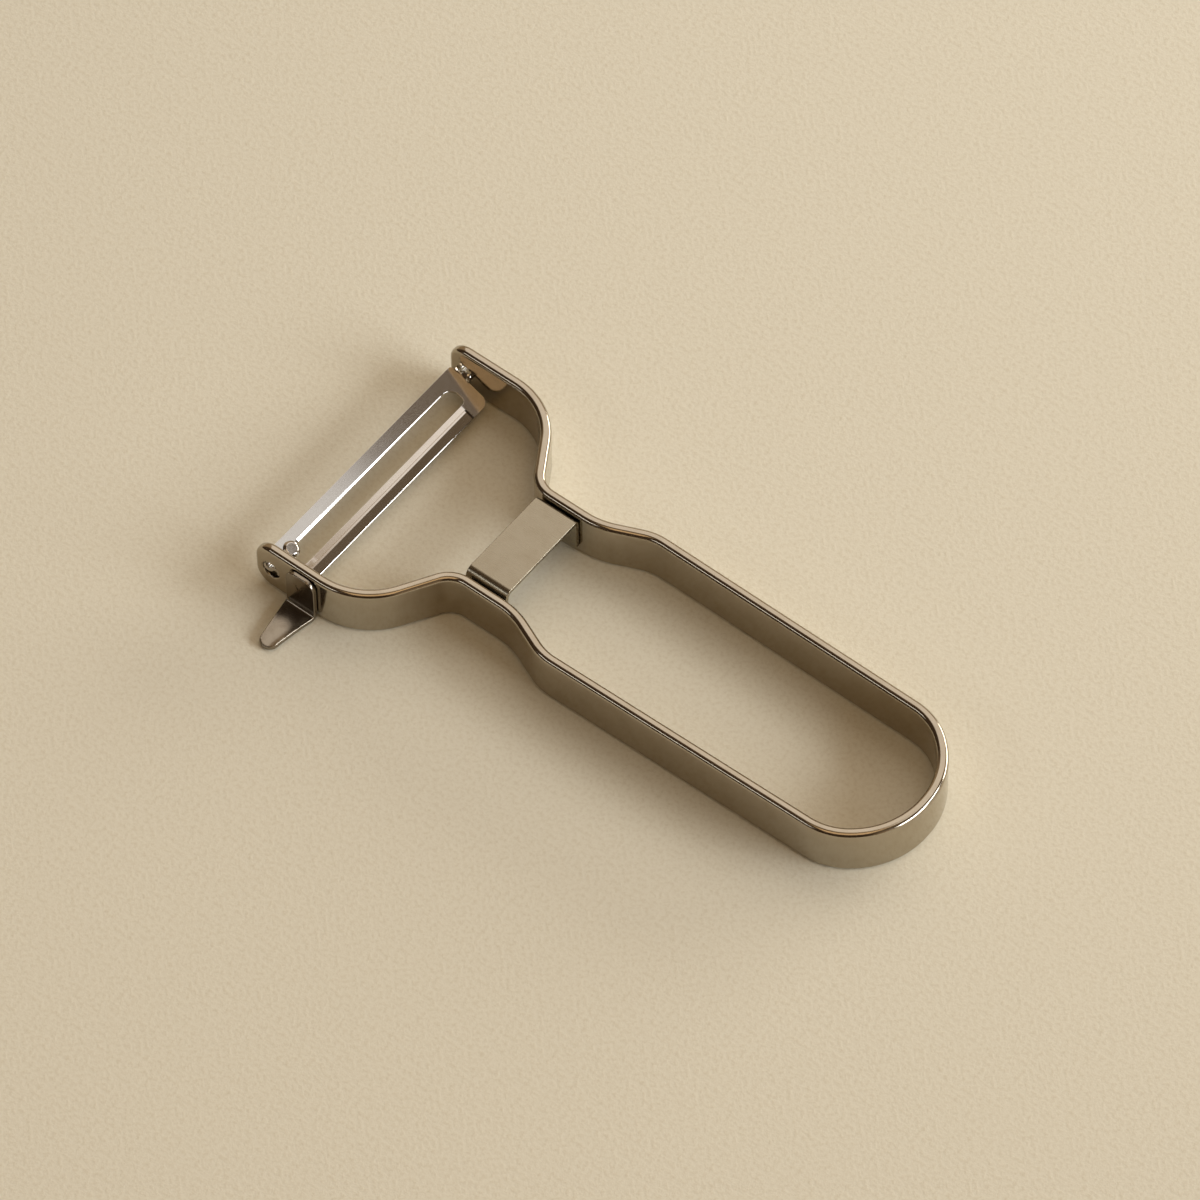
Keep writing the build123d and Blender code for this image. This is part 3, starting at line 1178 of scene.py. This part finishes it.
def finish_piece(piece: bpy.types.Object, finish: SteelFinish, body: str, node: str,
                 smooth_angle: float) -> None:
    """Smooths a piece, dresses it and puts it on its CAD body.

    Args:
        piece: The object.
        finish: Its finish.
        body: The CAD body that it rides on.
        node: The CAD node that it stands for.
        smooth_angle: How far two faces may turn from each other and still be shaded as one.
    """
    make_active(piece)
    bpy.ops.object.shade_smooth_by_angle(angle=radians(smooth_angle))
    modify(piece, "WEIGHTED_NORMAL", keep_sharp=True)
    piece.data.materials.clear()
    piece.data.materials.append(finish.material())
    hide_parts(node)
    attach(piece, body)
    LOG.info("%s: %d faces on body %s", piece.name, len(piece.data.polygons), body)


@dataclass(frozen=True)
class Lamp:
    """A soft rectangular lamp: its bearing from the object, its size and its glow, where 1 is white."""

    name: str
    azimuth: float
    elevation: float
    distance: float
    width: float
    height: float
    glow: float
    colour: str
    turn: float = 0.0


@dataclass
class Studio:
    """The table that the peeler lies on, its light and the camera."""

    azimuth: float = 218.98
    elevation: float = 54.92
    roll: float = -0.93
    target: Point = (70.73, -4.59, 0.0)
    distance: float = 1612.6
    focal_pixels: float = 9693.8
    image_pixels: float = 1200.0
    sensor: float = 36.0
    table_size: float = 3000.0
    table_hex: str = "E4DEC9"
    fibre_hex: str = "D7CEB5"
    tooth_scale: float = 1300.0
    tooth_detail: float = 4.0
    tooth_roughness: float = 0.6
    tooth_depth: float = 0.06
    paper_roughness: float = 0.85
    wall_hex: str = "B39979"
    dim_hex: str = "4A3A2A"
    dim_side: Point = (0.25, 0.9, 0.35)
    dim_limits: tuple[float, float] = (0.05, 0.45)
    backlit_hex: str = "705E49"
    backlit_side: Point = (-0.75, -0.35, 0.55)
    backlit_limits: tuple[float, float] = (0.76, 0.86)
    lamps: tuple[Lamp, ...] = (
        Lamp("window", 282, 20, 5200, 2600, 1800, 12.2, "F6FAFF"),
        Lamp("window_above", 306, 28, 5200, 2000, 1400, 8.2, "F6FAFF"),
        Lamp("low_window", 340, 11, 900, 620, 260, 8.5, "FFFAF2"),
        Lamp("blade_card", 326.1, 66.5, 492, 120, 115, 0.85, "FFFFFF", 38),
        Lamp("warm_ceiling", 215, 74, 900, 560, 560, 1.0, "F8D4A6"),
        Lamp("bounce_card", 23, 47, 800, 780, 620, 0.78, "FFFFFF"),
        Lamp("strip_card", 154, 36, 800, 420, 110, 2.3, "FFFFFF"),
    )

    def camera(self) -> None:
        """Puts the camera where the photograph was taken from."""
        roll = radians(self.roll)
        back = bearing(self.azimuth, self.elevation)
        level = Vector((0, 0, 1)).cross(back).normalized()
        upright = back.cross(level)
        right = cos(roll) * level + sin(roll) * upright
        above = cos(roll) * upright - sin(roll) * level
        data = bpy.data.cameras.new("camera")
        data.sensor_width = self.sensor
        data.lens = self.focal_pixels / self.image_pixels * self.sensor
        camera = bpy.data.objects.new("camera", data)
        place = (Vector(self.target) + back * self.distance) * MM
        camera.matrix_world = Matrix((
            (right.x, above.x, back.x, place.x),
            (right.y, above.y, back.y, place.y),
            (right.z, above.z, back.z, place.z),
            (0, 0, 0, 1),
        ))
        bpy.context.scene.collection.objects.link(camera)
        bpy.context.scene.camera = camera

    def table(self) -> None:
        """Lays the pale table top."""
        bpy.ops.object.select_all(action="DESELECT")
        bpy.ops.mesh.primitive_plane_add(size=self.table_size * MM)
        table = bpy.context.object
        table.name = "table"
        material = new_material("cream_paper")
        tree = material.node_tree
        place = add_node(tree, "ShaderNodeTexCoord").outputs["Object"]
        tooth = add_node(
            tree, "ShaderNodeTexNoise",
            {"Scale": self.tooth_scale, "Detail": self.tooth_detail, "Roughness": self.tooth_roughness},
            {"Vector": place},
        )
        relief = add_node(
            tree, "ShaderNodeBump", {"Strength": 1.0, "Distance": self.tooth_depth * MM},
            {"Height": tooth.outputs[0]},
        )
        paper = add_node(
            tree, "ShaderNodeBsdfPrincipled", {"Roughness": self.paper_roughness},
            {"Base Color": add_blend(tree, tooth.outputs[0], self.table_hex, self.fibre_hex),
             "Normal": relief.outputs[0]},
        )
        add_node(tree, "ShaderNodeOutputMaterial", {}, {"Surface": paper.outputs[0]})
        table.data.materials.append(material)

    def hang(self, lamp: Lamp) -> None:
        """Hangs one soft lamp, aimed at the object.

        Args:
            lamp: The lamp.
        """
        towards = bearing(lamp.azimuth, lamp.elevation)
        data = bpy.data.lights.new(lamp.name, "AREA")
        data.shape = "RECTANGLE"
        data.size = lamp.width * MM
        data.size_y = lamp.height * MM
        data.energy = lamp.glow * pi * data.size * data.size_y
        data.color = hex_to_linear(lamp.colour)[:3]
        holder = bpy.data.objects.new(lamp.name, data)
        turn = towards.to_track_quat("Z", "Y").to_matrix().to_4x4()
        turn = turn @ Matrix.Rotation(radians(lamp.turn), 4, "Z")
        place = (Vector(self.target) + towards * lamp.distance) * MM
        holder.matrix_world = Matrix.Translation(place) @ turn
        bpy.context.scene.collection.objects.link(holder)

    def room(self) -> None:
        """Gives the room its tones: warm and light on the window's side, dim on the other."""
        world = bpy.data.worlds.new("room")
        world.use_nodes = True
        tree = world.node_tree
        tree.nodes.clear()
        way = add_node(tree, "ShaderNodeTexCoord").outputs["Generated"]
        tone = add_node(
            tree, "ShaderNodeMix",
            {"data_type": "RGBA", 6: hex_to_linear(self.wall_hex), 7: hex_to_linear(self.dim_hex)},
            {0: add_facing(tree, way, self.dim_side, self.dim_limits)},
        )
        shade = add_node(
            tree, "ShaderNodeMix", {"data_type": "RGBA", 7: hex_to_linear(self.backlit_hex)},
            {0: add_facing(tree, way, self.backlit_side, self.backlit_limits), 6: tone.outputs[2]},
        )
        room = add_node(tree, "ShaderNodeBackground", {"Strength": 1.0}, {"Color": shade.outputs[2]})
        backdrop = add_node(
            tree, "ShaderNodeBackground", {"Color": hex_to_linear(self.table_hex), "Strength": 1.0}
        )
        seen = add_node(tree, "ShaderNodeLightPath").outputs["Is Camera Ray"]
        shown = add_node(
            tree, "ShaderNodeMixShader", {}, {0: seen, 1: room.outputs[0], 2: backdrop.outputs[0]}
        )
        add_node(tree, "ShaderNodeOutputWorld", {}, {"Surface": shown.outputs[0]})
        bpy.context.scene.world = world

    def set_up(self) -> None:
        """Sets up the camera, the table, the lights and how colours are shown."""
        self.camera()
        self.table()
        for lamp in self.lamps:
            self.hang(lamp)
        self.room()
        bpy.context.scene.view_settings.view_transform = "Standard"


def main() -> None:
    """Builds the object, its stage and its lights."""
    logging.basicConfig(level=logging.INFO, format="%(name)s: %(message)s")
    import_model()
    Studio().set_up()
    strip = StripFrame()
    blade = Blade(strip)
    for part, finish, body, node, smooth_angle in (
        (strip, TUMBLED_STRIP, "handle", "frame_strip", SMOOTH_ANGLE),
        (Bridge(strip), PRESSED_BRIDGE, "handle", "bridge", SMOOTH_ANGLE),
        (EyeRemover(strip), POLISHED_SHEET, "handle", "eye_remover", SMOOTH_ANGLE),
        (blade, GROUND_BLADE, "blade", "blade", blade.smooth_angle),
    ):
        finish_piece(part.build(), finish, body, node, smooth_angle)


if __name__ == "__main__":
    main()
